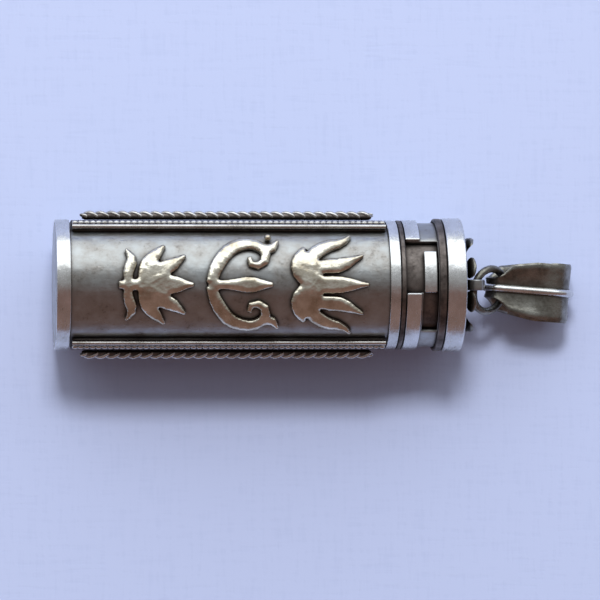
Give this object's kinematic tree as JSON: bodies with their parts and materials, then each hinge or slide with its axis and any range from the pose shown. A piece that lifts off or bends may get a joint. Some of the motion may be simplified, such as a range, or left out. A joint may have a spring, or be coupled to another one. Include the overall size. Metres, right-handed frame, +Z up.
{
  "type": "pendant prayer wheel",
  "caption": "Small metal scroll tube worn as a pendant, with applied brass ornaments, rope-wire trim, a twist-off bayonet cap, a jump ring and a strap bail.",
  "frame": {"origin": "on the surface that the pendant lies on, below the middle of its length and width", "axes": "+X along the tube from the closed base to the bail, +Y across it, +Z up through the front panel"},
  "size_m": [0.0628, 0.0176, 0.0164],
  "materials": {
    "silver": "oxidised silver sheet, rubbed bright on the high places, dark in the recesses",
    "bright_silver": "silver rings and bands worn bright",
    "dark_silver": "silver left dark with oxide",
    "brass": "pale hand-sawn brass with rubbed faces",
    "paper": "rolled handmade paper",
    "thread": "dyed cotton thread"
  },
  "bodies": {
    "body": {"body_tube": "silver", "base_plate": "silver", "base_ring": "bright_silver", "collar_ring": "bright_silver", "neck_tube": "dark_silver", "neck_lug_1": "bright_silver", "neck_lug_2": "bright_silver", "side_strip_1": "dark_silver", "side_strip_2": "dark_silver", "rope_wire_1": "silver", "rope_wire_2": "silver", "edge_wire_1": "silver", "edge_wire_2": "silver", "edge_wire_3": "silver", "edge_wire_4": "silver", "bead_wire_1": "silver", "bead_wire_2": "silver", "bead_wire_3": "silver", "bead_wire_4": "silver", "ornament_front_1": "brass", "ornament_front_2": "brass", "ornament_front_3": "brass", "ornament_back_1": "brass", "ornament_back_2": "brass", "ornament_back_3": "brass", "granule": "brass", "mantra_scroll": "paper", "scroll_tie": "thread"},
    "neck_washer": {"neck_washer": "dark_silver"},
    "cap": {"cap_skirt": "silver", "cap_band_1": "bright_silver", "cap_band_2": "bright_silver", "cap_root_ring": "dark_silver", "cap_rim_ring": "bright_silver", "cap_dome": "dark_silver", "cap_petal_1": "silver", "cap_petal_2": "silver", "cap_petal_3": "silver", "cap_petal_4": "silver", "cap_petal_5": "silver", "cap_petal_6": "silver", "cap_petal_7": "silver", "cap_petal_8": "silver", "cap_eye": "silver"},
    "jump_ring": {"jump_ring": "silver"},
    "bail": {"bail_strap": "silver", "bail_rib": "silver"}
  },
  "joints": [
    {"name": "cap_twist", "type": "hinge", "parent": "body", "child": "neck_washer", "pos_m": [0.00957, 0, 0.0082], "axis": [1, 0, 0], "range_deg": [-40, 0]},
    {"name": "cap_pull", "type": "slide", "parent": "neck_washer", "child": "cap", "axis": [1, 0, 0], "range_m": [0, 0.012]},
    {"name": "ring_swing", "type": "hinge", "parent": "cap", "child": "jump_ring", "pos_m": [0.01882, 0, 0.0082], "axis": [0, -1, 0], "range_deg": [-20, 85]},
    {"name": "bail_swing", "type": "hinge", "parent": "jump_ring", "child": "bail", "pos_m": [0.02276, -0.00044, 0.00494], "axis": [-0.0802, -0.9968, 0], "range_deg": [-65, 8]}
  ]
}
